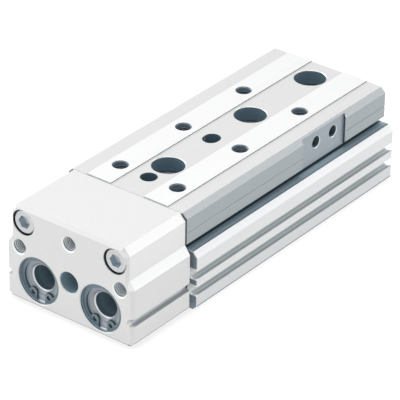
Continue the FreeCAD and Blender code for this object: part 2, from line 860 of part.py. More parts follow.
for side_name, side in sides:
    x = side * bore_x
    save(side_name + "_rod_bearing", rod_bearing(x))
    save(side_name + "_bearing_ring", bearing_ring(x))
    save(side_name + "_rod_seal", rod_seal(x))
    save(side_name + "_bearing_circlip", circlip(x, bore_height, housing_front + circlip_setback, seat_bore))
    save(side_name + "_front_buffer", front_buffer(x))
    save(side_name + "_rear_buffer", rear_buffer(x))
    save(side_name + "_end_cap", end_cap(x))
    save(side_name + "_end_cap_ring", end_cap_ring(x))
    rear_circlip = housing_back - circlip_setback - circlip_thickness
    save(side_name + "_end_cap_circlip", circlip(x, bore_height, rear_circlip, seat_bore))
    save(side_name + "_yoke_circlip", circlip(x, bore_height, yoke_front + circlip_setback, head_bore))
    save(side_name + "_retaining_washer", retaining_washer(x))
    save(side_name + "_rod_head", rod_head(x))
    save(side_name + "_float_ring", float_ring(x))
    save(side_name + "_piston_rod", piston_rod(x))
    save(side_name + "_piston", piston(x))
    save(side_name + "_front_piston_seal", piston_band(x, 0))
    save(side_name + "_magnet", piston_band(x, 1))
    save(side_name + "_guide_band", piston_band(x, 2))
    save(side_name + "_rear_piston_seal", piston_band(x, 3))
    save(side_name + "_ball_cage", ball_cage(side))
    save(side_name + "_balls", balls(side))
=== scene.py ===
import json
import math
from types import SimpleNamespace

import bpy
from mathutils import Matrix, Vector


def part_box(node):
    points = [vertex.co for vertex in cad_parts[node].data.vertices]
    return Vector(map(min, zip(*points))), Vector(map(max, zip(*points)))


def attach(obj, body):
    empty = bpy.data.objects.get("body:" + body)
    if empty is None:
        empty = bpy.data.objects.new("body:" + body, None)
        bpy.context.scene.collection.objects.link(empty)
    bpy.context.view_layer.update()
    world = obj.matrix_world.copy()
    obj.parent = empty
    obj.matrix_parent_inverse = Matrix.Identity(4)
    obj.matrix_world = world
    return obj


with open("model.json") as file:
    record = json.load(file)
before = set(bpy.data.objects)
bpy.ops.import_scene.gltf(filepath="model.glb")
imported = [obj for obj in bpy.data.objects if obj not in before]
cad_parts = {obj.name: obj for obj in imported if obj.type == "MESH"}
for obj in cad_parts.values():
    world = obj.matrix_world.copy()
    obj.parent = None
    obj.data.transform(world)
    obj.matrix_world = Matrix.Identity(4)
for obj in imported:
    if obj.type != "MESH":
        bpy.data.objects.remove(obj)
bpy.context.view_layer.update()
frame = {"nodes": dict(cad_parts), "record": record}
nodes = frame["nodes"]
mounts = {mount["name"]: mount for mount in frame["record"]["mounts"]}
mm = 0.001  # the frame is in metres
margin = 0.02  # mm, how far a mask reaches past a face or stops short of it
print("frame loaded with", len(nodes), "nodes")


# The camera, set to the photograph's viewing angle

cameraView = {
    "target": (-0.08, -3.1, 17.86),  # mm, close to the middle of the table
    "azimuth": 37.36,  # degrees, counted as in the side views
    "elevation": 30.24,
    "roll": 0.97,
    "distance": 1173.4,  # mm
    "lens": 262.94,
    "sensor": 36.0,
}


def makeCamera(view):
    azimuth, elevation, roll = (math.radians(view[key]) for key in ("azimuth", "elevation", "roll"))
    level = math.cos(elevation)
    back = Vector((math.sin(azimuth) * level, -math.cos(azimuth) * level, math.sin(elevation)))
    right = Vector((math.cos(azimuth), math.sin(azimuth), 0))
    up = back.cross(right)
    across = right * math.cos(roll) + up * math.sin(roll)
    upward = up * math.cos(roll) - right * math.sin(roll)
    data = bpy.data.cameras.new("camera")
    data.lens = view["lens"]
    data.sensor_width = view["sensor"]
    camera = bpy.data.objects.new("camera", data)
    place = (Vector(view["target"]) + back * view["distance"]) * mm
    camera.matrix_world = Matrix.Translation(place) @ Matrix((across, upward, back)).transposed().to_4x4()
    bpy.context.scene.collection.objects.link(camera)
    bpy.context.scene.camera = camera


makeCamera(cameraView)
bpy.context.scene.view_settings.view_transform = "Standard"
print("camera placed")


# Small helpers for node trees and colours

def srgb(hexText):
    # The linear colour that a node takes
    channels = [int(hexText[index:index + 2], 16) / 255 for index in (1, 3, 5)]
    return [c / 12.92 if c <= 0.04045 else ((c + 0.055) / 1.055) ** 2.4 for c in channels] + [1.0]


def addNode(tree, kind, inputs, **settings):
    node = tree.nodes.new(kind)
    for name, value in settings.items():
        setattr(node, name, value)
    for name, value in inputs.items():
        if isinstance(value, bpy.types.NodeSocket):
            tree.links.new(value, node.inputs[name])
        else:
            node.inputs[name].default_value = value
    return node


def inMillimetres(tree):
    place = addNode(tree, "ShaderNodeTexCoord", {}).outputs["Object"]
    return addNode(tree, "ShaderNodeVectorMath", {0: place, "Scale": 1 / mm}, operation="SCALE").outputs[0]


# Masks that give 1 inside a part of a piece and 0 outside it; all sizes are in mm

def above(tree, value, edge):
    return addNode(tree, "ShaderNodeMath", {0: value, 1: edge}, operation="GREATER_THAN").outputs[0]


def below(tree, value, edge):
    return addNode(tree, "ShaderNodeMath", {0: value, 1: edge}, operation="LESS_THAN").outputs[0]


def allOf(tree, mask, *others):
    for other in others:
        mask = addNode(tree, "ShaderNodeMath", {0: mask, 1: other}, operation="MULTIPLY").outputs[0]
    return mask


def anyOf(tree, mask, *others):
    for other in others:
        mask = addNode(tree, "ShaderNodeMath", {0: mask, 1: other}, operation="MAXIMUM").outputs[0]
    return mask


def between(tree, value, low, high):
    return allOf(tree, above(tree, value, low), below(tree, value, high))


def fade(tree, value, start, end):
    # Rises evenly from 0 at start to 1 at end
    return addNode(tree, "ShaderNodeMapRange", {
        "Value": value, "From Min": start, "From Max": end}).outputs[0]


def axisDistance(tree, place, through, along):
    # How far a point is from a line along X, Y or Z through a place
    offset = addNode(tree, "ShaderNodeVectorMath", {0: place, 1: tuple(through)}, operation="SUBTRACT")
    across = tuple(0 if axis == along else 1 for axis in "XYZ")
    flat = addNode(tree, "ShaderNodeVectorMath", {0: offset.outputs[0], 1: across}, operation="MULTIPLY")
    return addNode(tree, "ShaderNodeVectorMath", {0: flat.outputs[0]}, operation="LENGTH").outputs["Value"]


def nearAxis(tree, place, through, along, reach):
    return below(tree, axisDistance(tree, place, through, along), reach)


def foldedPlace(tree, place):
    # The left half of the table folded on to the right half, since both are alike
    apart = addNode(tree, "ShaderNodeSeparateXYZ", {0: place}).outputs
    x = addNode(tree, "ShaderNodeMath", {0: apart["X"]}, operation="ABSOLUTE").outputs[0]
    whole = addNode(tree, "ShaderNodeCombineXYZ", {"X": x, "Y": apart["Y"], "Z": apart["Z"]}).outputs[0]
    return SimpleNamespace(place=whole, x=x, y=apart["Y"], z=apart["Z"])


# Places in mm, from the boxes of the pieces and from the mounts

def boxOf(node):
    low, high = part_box(node)
    return Vector(low) / mm, Vector(high) / mm


def holePlaces(*names):
    # The middle of every hole of these mounts, with the direction out of it
    places = []
    for name in names:
        mount = mounts[name]
        outward = Vector(mount["axis"])
        second = Vector((0, 1, 0)) if outward.z else Vector((0, 0, 1))
        stepX = Vector((1, 0, 0)) * mount["dims"].get("spacing_x_mm", 0) / 2
        stepY = second * mount["dims"].get("spacing_y_mm", 0) / 2
        middle = Vector(mount["pos_m"]) / mm
        found = {tuple(middle + stepX * i + stepY * j) for i in (-1, 1) for j in (-1, 1)}
        places += [(Vector(place), outward) for place in sorted(found)]
    return places


def holeMiddles(*names):
    return [middle for middle, outward in holePlaces(*names)]


housingLow, housingHigh = boxOf("housing")
yokeLow, yokeHigh = boxOf("yoke")
slideLow, slideHigh = boxOf("slide")
screwLow, screwHigh = boxOf("yoke_screws")
boreAxis = sum(boxOf("right_rod_head"), Vector()) / 2  # the right cylinder; the left one mirrors it
screwAxis = Vector((screwHigh.x - (screwHigh.z - screwLow.z) / 2, 0, (screwHigh.z + screwLow.z) / 2))


# Studio: backlit pale floor, a large soft light overhead, lights all round it and a pale surround

studio = {
    "floorHex": "#8A8A8A",
    "floorRoughness": 0.9,
    "floorGlow": 0.73,  # light that comes up through the paper from the table under it
    "floorGlowHex": "#FFFFFF",
    "floorReach": 3.0,  # m
    "floorDrop": 0.05,  # mm, so that the paper and the underside of the table are not one face
    "surroundHex": "#FFFFFF",
    "surroundStrength": 0.47,
    "lights": {
        # name: place in m, width in m, power in W
        "overhead": ((0, 0, 1.5), 1.3, 18.9),
        "rightBack": ((1.0, 1.0, 0.7), 0.9, 7.0),
        "frontHigh": ((0, -1.0, 1.1), 0.9, 1.4),
        "frontLeft": ((-0.98, -0.98, 0.6), 0.9, 5.6),
        "rightFront": ((0.98, -0.98, 0.5), 0.9, 2.4),
        "left": ((-1.3, 0, 0.6), 0.9, 9.4),
    },
}


def makeStudio(settings):
    world = bpy.data.worlds.new("surround")
    world.use_nodes = True
    background = world.node_tree.nodes["Background"]
    background.inputs["Color"].default_value = srgb(settings["surroundHex"])
    background.inputs["Strength"].default_value = settings["surroundStrength"]
    bpy.context.scene.world = world
    for name, (place, width, power) in settings["lights"].items():
        data = bpy.data.lights.new(name, "AREA")
        data.shape = "DISK"
        data.size = width
        data.energy = power
        light = bpy.data.objects.new(name, data)
        light.location = place
        light.rotation_euler = Vector(place).to_track_quat("Z", "Y").to_euler()
        bpy.context.scene.collection.objects.link(light)
    reach = settings["floorReach"]
    level = -settings["floorDrop"] * mm
    corners = [(x * reach, y * reach, level) for x, y in ((-1, -1), (1, -1), (1, 1), (-1, 1))]
    mesh = bpy.data.meshes.new("floor")
    mesh.from_pydata(corners, [], [(0, 1, 2, 3)])
    floor = bpy.data.objects.new("floor", mesh)
    material = bpy.data.materials.new("backlit matte paper")
    material.use_nodes = True
    shader = material.node_tree.nodes["Principled BSDF"]
    shader.inputs["Base Color"].default_value = srgb(settings["floorHex"])
    shader.inputs["Emission Color"].default_value = srgb(settings["floorGlowHex"])
    shader.inputs["Emission Strength"].default_value = settings["floorGlow"]
    shader.inputs["Roughness"].default_value = settings["floorRoughness"]
    mesh.materials.append(material)
    bpy.context.scene.collection.objects.link(floor)


makeStudio(studio)
print("studio lit")


# Finishes. Patterns read Object coordinates in millimetres, so their sizes below are real ones.

patterns = {
    "grain": {"Detail": 3.0, "Roughness": 0.6},
    "streak": {"Detail": 4.0, "Roughness": 0.65},
    "ring": {"Detail": 2.0},
    "streakShare": 0.6,  # the rest is grain
    "ringShare": 0.7,
    "bumpStrength": 0.3,
}


def ringPattern(tree, place, ringSize):
    # Lathe lines: rings on faces across Y and bands along Y on round walls, about both cylinder axes
    folded = foldedPlace(tree, place)
    distance = axisDistance(tree, folded.place, boreAxis, "Y")
    turn = addNode(tree, "ShaderNodeMath", {0: distance, 1: folded.y}, operation="ADD").outputs[0]
    return addNode(tree, "ShaderNodeTexNoise", {"W": turn, "Scale": 1 / ringSize, **patterns["ring"]},
                   noise_dimensions="1D").outputs[0]


def startFinish(settings):
    material = bpy.data.materials.new(settings["name"])
    material.use_nodes = True
    tree = material.node_tree
    shader = tree.nodes["Principled BSDF"]
    shader.inputs["Metallic"].default_value = settings["metallic"]
    if "ior" in settings:
        shader.inputs["IOR"].default_value = settings["ior"]
    place = inMillimetres(tree)
    grain = addNode(tree, "ShaderNodeTexNoise", {
        "Vector": place, "Scale": 1 / settings["grain"], **patterns["grain"]}).outputs[0]
    pattern = grain
    if "streak" in settings:  # lines left by drawing, grinding or milling, long in the stretched direction
        drawn = addNode(tree, "ShaderNodeVectorMath", {
            0: place, 1: settings["stretch"]}, operation="MULTIPLY").outputs[0]
        streaks = addNode(tree, "ShaderNodeTexNoise", {
            "Vector": drawn, "Scale": 1 / settings["streak"], **patterns["streak"]}).outputs[0]
        pattern = addNode(tree, "ShaderNodeMix", {
            0: patterns["streakShare"], 2: grain, 3: streaks}).outputs[0]
    if "ring" in settings:
        rings = ringPattern(tree, place, settings["ring"])
        pattern = addNode(tree, "ShaderNodeMix", {
            0: patterns["ringShare"], 2: grain, 3: rings}).outputs[0]
    low, high = settings["roughness"]
    rough = addNode(tree, "ShaderNodeMapRange", {"Value": pattern, "To Min": low, "To Max": high})
    tree.links.new(rough.outputs[0], shader.inputs["Roughness"])
    bump = addNode(tree, "ShaderNodeBump", {
        "Height": pattern, "Strength": patterns["bumpStrength"], "Distance": settings["depth"] * mm})
    tree.links.new(bump.outputs[0], shader.inputs["Normal"])
    return material, tree, shader, place, pattern


def patternColour(tree, pattern, darkHex, lightHex):
    # Sockets 6 and 7 take the two colours
    return addNode(tree, "ShaderNodeMix", {0: pattern, 6: srgb(darkHex), 7: srgb(lightHex)},
                   data_type="RGBA").outputs[2]


def finishWith(settings, makeZones=None):
    # Each zone lays its own pair of colours over what comes before it, where its mask is 1
    material, tree, shader, place, pattern = startFinish(settings)
    colour = patternColour(tree, pattern, settings["darkHex"], settings["lightHex"])
    for mask, hexes in makeZones(tree, place, settings) if makeZones else ():
        laid = patternColour(tree, pattern, *hexes)
        colour = addNode(tree, "ShaderNodeMix", {0: mask, 6: colour, 7: laid}, data_type="RGBA").outputs[2]
    tree.links.new(colour, shader.inputs["Base Color"])
    return material


# Extruded aluminium, blasted and clear anodised: a pale, even, matt skin with faint lines along the
# extrusion. Painted shade: the milled channel beside the slide and the sawn front end are slate, and the
# slots a little cooler and darker than the skin; more painted shade in the bores and holes, on the lower
# rib and the foot, and on the shoulder chamfer to tone down its highlight. Painted light: a fade across the
# channel, a streak along the slot floors, and the slot mouths near the front end.
housingSkin = {
    "name": "clear anodised aluminium extrusion", "darkHex": "#CDCFD0", "lightHex": "#DFE0E0",
    "metallic": 0.35, "roughness": (0.42, 0.56), "grain": 0.5, "streak": 0.5, "stretch": (1.0, 0.02, 1.0),
    "depth": 0.012,
    # painted shade: the channel beside the slide is slate, darkest and navy in the strip under the slide's
    # foot and darker at the outer lip, with a painted lighter fade across its middle
    "channelEdge": 30.88, "channelHexes": ("#7D8F9A", "#8C9EA8"),
    "lipFrom": 30.1, "lipHexes": ("#6C7D87", "#798A94"),
    "fadeFrom": 30.3, "fadeTo": 27.0, "fadeHexes": ("#A6BCC7", "#B5CBD5"),
    "shadeEdge": 27.1, "shadeHexes": ("#4B6270", "#566E7B"),
    # painted shade: the front end is slate, as it lies in the gap behind the front block
    "endHexes": ("#7A8690", "#88949D"),
    # painted shade: the shoulder chamfer is a little darker to tone down its highlight
    "shoulderInner": 30.93, "shoulderDrop": 2.38, "shoulderHexes": ("#C3C5C7", "#D3D4D5"),
    # painted shade: the lower rib a little darker, and a painted shadow line along the foot where it meets
    # the floor
    "lowRib": 7.1, "lowRibHexes": ("#C3C6C8", "#D4D6D7"),
    "footHeight": 2.5, "footHexes": ("#858D92", "#91989D"),
    # painted shade: the slots darker and cooler than the skin, with a painted highlight along their floors
    # and painted light at their mouths near the front end
    "slotHeights": (9.05, 16.3), "slotHalf": 2.52, "slotInner": 29.5, "slotOuter": 32.93,
    "slotHexes": ("#B4BCC0", "#C6CDD0"),
    "shineInner": 30.1, "shineOuter": 31.1, "shineFrom": 2.62, "shineTo": 2.0,
    "shineHexes": ("#D2DADD", "#E2E7E9"),
    "mouthDepth": 1.2, "slotMouthHexes": ("#F6F7F7", "#FFFFFF"),
    # painted shade in the bores, the base holes and the air ports
    "boreReach": 10.03, "boreHexes": ("#868F95", "#979FA4"),
    "holeReach": 3.43, "portReach": 2.53, "holeHexes": ("#5F7480", "#6E838F"),
}


def housingZones(tree, place, settings):
    folded = foldedPlace(tree, place)
    skin = above(tree, folded.x, settings["slotOuter"])
    # painted shade on the lower rib, and a painted shadow along the foot
    lowRib = allOf(tree, skin, below(tree, folded.z, settings["lowRib"]))
    foot = allOf(tree, skin, below(tree, folded.z, settings["footHeight"]))
    # painted shade in the channel beside the slide, with a painted lighter fade, a darker strip under the
    # slide and a darker lip
    channel = allOf(tree, below(tree, folded.x, settings["channelEdge"]),
                    above(tree, folded.z, housingHigh.z - margin))
    channelFade = allOf(tree, channel, fade(tree, folded.x, settings["fadeFrom"], settings["fadeTo"]))
    shade = allOf(tree, channel, below(tree, folded.x, settings["shadeEdge"]))
    lip = allOf(tree, channel, above(tree, folded.x, settings["lipFrom"]))
    # painted shade on the shoulder chamfer, toning down its highlight
    shoulder = allOf(tree, above(tree, folded.x, settings["shoulderInner"]),
                     above(tree, folded.z, housingHigh.z - settings["shoulderDrop"]),
                     below(tree, folded.z, housingHigh.z - margin))
    # painted shade on the front end, in the gap behind the front block
    frontEnd = below(tree, folded.y, housingLow.y + margin)
    # painted shade in the slots, a painted highlight along their floors, painted light at their mouths
    half = settings["slotHalf"]
    heights = settings["slotHeights"]
    levels = [between(tree, folded.z, height - half, height + half) for height in heights]
    slots = allOf(tree, between(tree, folded.x, settings["slotInner"], settings["slotOuter"]),
                  anyOf(tree, *levels))
    floors = [between(tree, folded.z, height - settings["shineFrom"], height - settings["shineTo"])
              for height in heights]
    shine = allOf(tree, between(tree, folded.x, settings["shineInner"], settings["shineOuter"]),
                  anyOf(tree, *floors))
    slotMouths = allOf(tree, slots, below(tree, folded.y, housingLow.y + settings["mouthDepth"]))
    # painted shade in the bores, base holes and air ports
    bores = nearAxis(tree, folded.place, boreAxis, "Y", settings["boreReach"])
    baseHoles = [nearAxis(tree, place, hole, "Z", settings["holeReach"])
                 for hole in holeMiddles("base_holes_front", "base_holes_rear")]
    ports = [nearAxis(tree, place, hole, "Y", settings["portReach"]) for hole in holeMiddles("air_ports")]
    return [
        (lowRib, settings["lowRibHexes"]), (foot, settings["footHexes"]),
        (channel, settings["channelHexes"]), (channelFade, settings["fadeHexes"]),
        (shade, settings["shadeHexes"]), (lip, settings["lipHexes"]),
        (shoulder, settings["shoulderHexes"]), (frontEnd, settings["endHexes"]),
        (slots, settings["slotHexes"]), (shine, settings["shineHexes"]),
        (slotMouths, settings["slotMouthHexes"]), (bores, settings["boreHexes"]),
        (anyOf(tree, *baseHoles, *ports), settings["holeHexes"]),
    ]


# The front block is milled all over, blasted finer and anodised: almost white, with a very fine speckle.
# Painted shade: slate in the bores and the threaded and centring holes, drawn lighter than they look since
# little light gets into them; a dark ring at the bore rims, nearly black in the counterbores round the
# screw heads, darker in the side groove and along the lower edges and the top front edge. Painted light: a
# lighter upper side and shoulder step, and near white mouths of the threaded holes and of the circlip
# groove.
yokeSkin = {
    "name": "fine blasted anodised aluminium", "darkHex": "#C9CACA", "lightHex": "#D8D8D7",
    "metallic": 0.35, "roughness": (0.42, 0.54), "grain": 0.55, "depth": 0.012,
    # painted shade: slate in the bores and a dark ring at the bore rims; the circlip groove painted near
    # white as painted light
    "boreReach": 10.03, "boreHexes": ("#93A9BA", "#9EB4C5"),
    "rimDepth": 0.9, "rimHexes": ("#566671", "#62727D"),
    "clipGrooveReach": 10.6, "clipGrooveStart": 1.55, "clipGrooveEnd": 2.75,
    "clipGrooveHexes": ("#F2F4F5", "#FFFFFF"),
    # painted shade: slate in the threaded and centring holes and nearly black in the counterbores round the
    # screw heads; the thread mouths are a painted highlight
    "threadReach": 3.03, "threadHexes": ("#808E98", "#8E9CA5"),
    "mouthReach": 3.58, "mouthHexes": ("#E4E8EA", "#F2F4F5"),
    "centringReach": 4.53, "centringHexes": ("#8FA6B1", "#9BB2BD"),
    "screwReach": 5.53, "screwStart": 0.35, "screwHexes": ("#2A343A", "#353F45"),
    # painted shadow: dark along the foot of the sides and the bottom front edge; the top front edge painted
    # a little darker as painted shade
    "footHeight": 2.15, "footInner": 29.6, "footHexes": ("#5C6469", "#697075"),
    "edgeWidth": 1.28, "bottomEdgeHexes": ("#3A4247", "#464E53"), "topEdgeHexes": ("#BDBEBE", "#CBCBCA"),
    # painted light: the upper side and the shoulder step lighter than the rest of the side; painted shade
    # in the side groove, darker in its upper half
    "upperSide": 28.9, "upperSideHexes": ("#D4D5D5", "#E3E3E2"),
    "stepInner": 29.1, "stepOuter": 31.45, "stepFoot": 20.0, "stepHexes": ("#CDCFCF", "#DCDDDC"),
    "grooveHeight": 11.85, "grooveHalf": 1.72, "grooveInner": 28.0, "grooveOuter": 31.48,
    "grooveStart": 2.0, "grooveTopHexes": ("#9BA0A3", "#A8ADB0"), "grooveFootHexes": ("#AEB3B6", "#BABFC2"),
}


def yokeZones(tree, place, settings):
    folded = foldedPlace(tree, place)
    behindFace = above(tree, folded.y, yokeLow.y + margin)
    edge = settings["edgeWidth"]
    frontEdges = between(tree, folded.y, yokeLow.y + margin, yokeLow.y + edge)
    behindEdges = above(tree, folded.y, yokeLow.y + edge)
    # painted light on the upper side and the shoulder step; painted shade in the side groove below
    upperSide = allOf(tree, above(tree, folded.x, settings["upperSide"]),
                      above(tree, folded.z, housingHigh.z))
    step = allOf(tree, between(tree, folded.x, settings["stepInner"], settings["stepOuter"]),
                 above(tree, folded.z, settings["stepFoot"]), behindEdges)
    # painted shade on the top front edge, and painted shadow along the foot and the bottom front edge
    topEdge = allOf(tree, frontEdges, below(tree, folded.x, settings["upperSide"]),
                    above(tree, folded.z, yokeHigh.z - edge))
    foot = allOf(tree, above(tree, folded.x, settings["footInner"]), behindEdges,
                 below(tree, folded.z, yokeLow.z + settings["footHeight"]))
    bottomEdge = allOf(tree, frontEdges, below(tree, folded.x, settings["footInner"]),
                       below(tree, folded.z, yokeLow.z + edge))
    groove = allOf(tree, between(tree, folded.x, settings["grooveInner"], settings["grooveOuter"]),
                   above(tree, folded.y, yokeLow.y + settings["grooveStart"]))
    middle = settings["grooveHeight"]
    half = settings["grooveHalf"]
    grooveTop = allOf(tree, groove, between(tree, folded.z, middle, middle + half))
    grooveFoot = allOf(tree, groove, between(tree, folded.z, middle - half, middle))
    # painted shade in the bores and at their rims, painted light in the circlip groove
    fromBore = axisDistance(tree, folded.place, boreAxis, "Y")
    bores = below(tree, fromBore, settings["boreReach"])
    rims = allOf(tree, behindFace, bores, below(tree, folded.y, yokeLow.y + settings["rimDepth"]))
    clipGroove = allOf(tree, below(tree, fromBore, settings["clipGrooveReach"]),
                       above(tree, folded.y, yokeLow.y + settings["clipGrooveStart"]),
                       below(tree, folded.y, yokeLow.y + settings["clipGrooveEnd"]))
    # painted shade in the counterbores, the threaded and centring holes; painted highlight at the thread
    # mouths
    counterbores = allOf(tree, nearAxis(tree, folded.place, screwAxis, "Y", settings["screwReach"]),
                         above(tree, folded.y, yokeLow.y + settings["screwStart"]))
    holes = holeMiddles("yoke_threads_side", "yoke_thread_top")
    threads = [nearAxis(tree, place, hole, "Y", settings["threadReach"]) for hole in holes]
    mouths = [nearAxis(tree, place, hole, "Y", settings["mouthReach"]) for hole in holes]
    centring = nearAxis(tree, place, holeMiddles("yoke_centring")[0], "Y", settings["centringReach"])
    return [
        (upperSide, settings["upperSideHexes"]), (step, settings["stepHexes"]),
        (topEdge, settings["topEdgeHexes"]), (foot, settings["footHexes"]),
        (bottomEdge, settings["bottomEdgeHexes"]), (grooveTop, settings["grooveTopHexes"]),
        (grooveFoot, settings["grooveFootHexes"]), (clipGroove, settings["clipGrooveHexes"]),
        (bores, settings["boreHexes"]), (rims, settings["rimHexes"]),
        (allOf(tree, behindFace, anyOf(tree, *mouths)), settings["mouthHexes"]),
        (anyOf(tree, *threads), settings["threadHexes"]), (centring, settings["centringHexes"]),
        (counterbores, settings["screwHexes"]),
    ]


# Ground and hardened steel: almost white on the ground load faces, pale on the strips between them, grey
# with long streaks on the drawn sides. Painted shade: dark inside the channel and the holes, on the step
# walls, along
# the fine line and the lower edge of the sides, in the side pockets and on the front end at the joint.
# Painted light:
# the front end's upper edge, the side hole rims and the pocket wall's outer edge.
slideSkin = {
    "name": "ground steel slide", "darkHex": "#CDCECE", "lightHex": "#DDDDDC", "metallic": 0.45,
    "roughness": (0.34, 0.5), "grain": 0.6, "streak": 0.6, "stretch": (1.0, 0.015, 1.0), "depth": 0.008,
    # painted shade: dark on the step walls between the load faces and the strips
    "landRise": 0.4, "landHexes": ("#DFE0E0", "#EEEEEE"), "stepHexes": ("#4E575F", "#5E676F"),
    "sideStart": 27.2, "sideHexes": ("#899296", "#ABB2B5"),
    "chamferDrop": 2.12, "chamferHexes": ("#858A8D", "#A6AAAC"),
    # painted shade along the fine line on the side, and dark along the lower edge where the slide overhangs
    # the channel
    "lineDrop": 8.45, "lineHalf": 0.28, "lineHexes": ("#777F84", "#828A8F"),  # fine line along the side
    "footDrop": 13.6, "footHexes": ("#2E424F", "#384C59"),  # dark lower edge
    # painted shade on the front end at the joint with the front block; its upper edge painted lighter,
    # darker again in front of the load faces
    "frontHexes": ("#5A656D", "#66717A"), "rearHexes": ("#A3A8AB", "#B4B8BA"),
    "jointDrop": 0.55, "stripFrontHexes": ("#D9DBDC", "#E5E6E6"),  # upper edge of the front end
    "landInner": 8.2, "landOuter": 20.1, "landFrontHexes": ("#B9BEC1", "#C6CACC"),
    # painted shade: dark inside the channel under the plate and in the access, threaded and centring holes
    "insideReach": 18.6, "plateThickness": 6.35, "insideHexes": ("#6A7379", "#7B848A"),
    "holeReaches": {
        "access": 6.78, "thread": 3.02, "mouth": 3.42, "centring": 3.52, "side": 2.52, "rim": 2.83,
    },
    "accessHexes": ("#6B818E", "#758B97"), "threadHexes": ("#748796", "#8092A0"),
    "mouthHexes": ("#55616A", "#626D75"), "centringHexes": ("#566A76", "#627682"),
    # painted highlight round the mouths of the side holes, painted shade inside them
    "sideRimHexes": ("#D8DDE0", "#E6E9EB"), "sideHoleHexes": ("#46545E", "#525F69"), "sideHoleDepth": 12.0,
    "slotHalf": 0.5,
    # painted shade on the pocket floor and its rear wall, with a painted highlight along the wall's outer
    # edge
    "pocketStart": 25.65, "pocketBack": 55.74, "pocketFloorHexes": ("#858F96", "#A6AFB5"),
    "pocketWallWidth": 2.0, "pocketHexes": ("#3E4B54", "#48555E"),
    "pocketCorner": 28.75, "pocketEdgeHexes": ("#D6DDE1", "#E4E9EC"),
}

sideThreadDepth = 8.3  # mm, from the side pocket's floor
sidePocketFloor = mounts["side_thread_right_front"]["pos_m"][0] / mm + sideThreadDepth / 2


def slideZones(tree, place, settings):
    folded = foldedPlace(tree, place)
    stripTop = slideHigh.z - settings["landRise"]
    land = above(tree, folded.z, slideHigh.z - margin)
    step = between(tree, folded.z, stripTop + margin, slideHigh.z - margin)
    side = above(tree, folded.x, settings["sideStart"])
    chamferFoot = stripTop - settings["chamferDrop"]
    chamfer = allOf(tree, side, between(tree, folded.z, chamferFoot, stripTop - margin))
    # painted shade along the fine line and the lower edge of the sides
    lineHeight = stripTop - settings["lineDrop"]
    line = allOf(tree, side, above(tree, folded.z, lineHeight - settings["lineHalf"]),
                 below(tree, folded.z, lineHeight + settings["lineHalf"]))
    foot = below(tree, folded.z, stripTop - settings["footDrop"])
    # painted shade on the pocket floor and rear wall, painted highlight along the wall's outer edge
    pocketFloor = allOf(tree, between(tree, folded.x, sidePocketFloor - margin, sidePocketFloor + margin),
                        between(tree, folded.y, settings["pocketStart"], settings["pocketBack"]))
    wallStart = settings["pocketBack"] - settings["pocketWallWidth"]
    pocketWall = allOf(tree, between(tree, folded.x, sidePocketFloor + margin, slideHigh.x - margin),
                       between(tree, folded.y, wallStart, settings["pocketBack"]))
    pocketEdge = allOf(tree, pocketWall, above(tree, folded.x, settings["pocketCorner"]))
    # painted shade inside the channel under the plate
    inside = allOf(tree, below(tree, folded.x, settings["insideReach"]),
                   below(tree, folded.z, stripTop - settings["plateThickness"] + margin))
    rear = above(tree, folded.y, slideHigh.y - margin)
    # painted shade on the front end at the joint, a lighter painted upper edge, darker again in front of
    # the load faces
    front = below(tree, folded.y, slideLow.y + margin)
    stripFront = allOf(tree, front, above(tree, folded.z, stripTop - settings["jointDrop"]),
                       below(tree, folded.x, settings["sideStart"]))
    landFront = allOf(tree, stripFront,
                      between(tree, folded.x, settings["landInner"], settings["landOuter"]))
    ends = between(tree, folded.y, slideLow.y + margin, slideHigh.y - margin)
    plate = addNode(tree, "ShaderNodeMath", {0: 1.0, 1: inside}, operation="SUBTRACT").outputs[0]
    sideHoleEnd = sidePocketFloor - settings["sideHoleDepth"]
    accesses = {round(hole.y, 3): hole for hole in holeMiddles("base_holes_front", "base_holes_rear")}
    threads = [hole for hole in holeMiddles("table_threads_outer", "table_threads_middle") if hole.x > 0]
    slotMiddle = holeMiddles("table_slot")[0]
    centrings = [holeMiddles("table_centring")[0]]
    centrings += [slotMiddle + Vector((0, shift * settings["slotHalf"], 0)) for shift in (-1, 1)]
    sideHoles = holeMiddles("side_thread_right_front", "side_thread_right_rear")

    def drilled(holes, along, kind):
        reach = settings["holeReaches"][kind]
        return anyOf(tree, *[nearAxis(tree, folded.place, hole, along, reach) for hole in holes])

    return [
        (land, settings["landHexes"]), (step, settings["stepHexes"]), (side, settings["sideHexes"]),
        (chamfer, settings["chamferHexes"]), (line, settings["lineHexes"]), (foot, settings["footHexes"]),
        (pocketFloor, settings["pocketFloorHexes"]), (pocketWall, settings["pocketHexes"]),
        (pocketEdge, settings["pocketEdgeHexes"]), (inside, settings["insideHexes"]),
        (rear, settings["rearHexes"]), (front, settings["frontHexes"]),
        (stripFront, settings["stripFrontHexes"]), (landFront, settings["landFrontHexes"]),
        (allOf(tree, ends, plate, drilled(accesses.values(), "Z", "access")), settings["accessHexes"]),
        (drilled(threads, "Z", "mouth"), settings["mouthHexes"]),
        (drilled(threads, "Z", "thread"), settings["threadHexes"]),
        (drilled(centrings, "Z", "centring"), settings["centringHexes"]),
        (allOf(tree, drilled(sideHoles, "X", "rim"),
               between(tree, folded.x, sideHoleEnd, sidePocketFloor - margin)), settings["sideRimHexes"]),
        (allOf(tree, drilled(sideHoles, "X", "side"),
               between(tree, folded.x, sideHoleEnd, sidePocketFloor)), settings["sideHoleHexes"]),
    ]


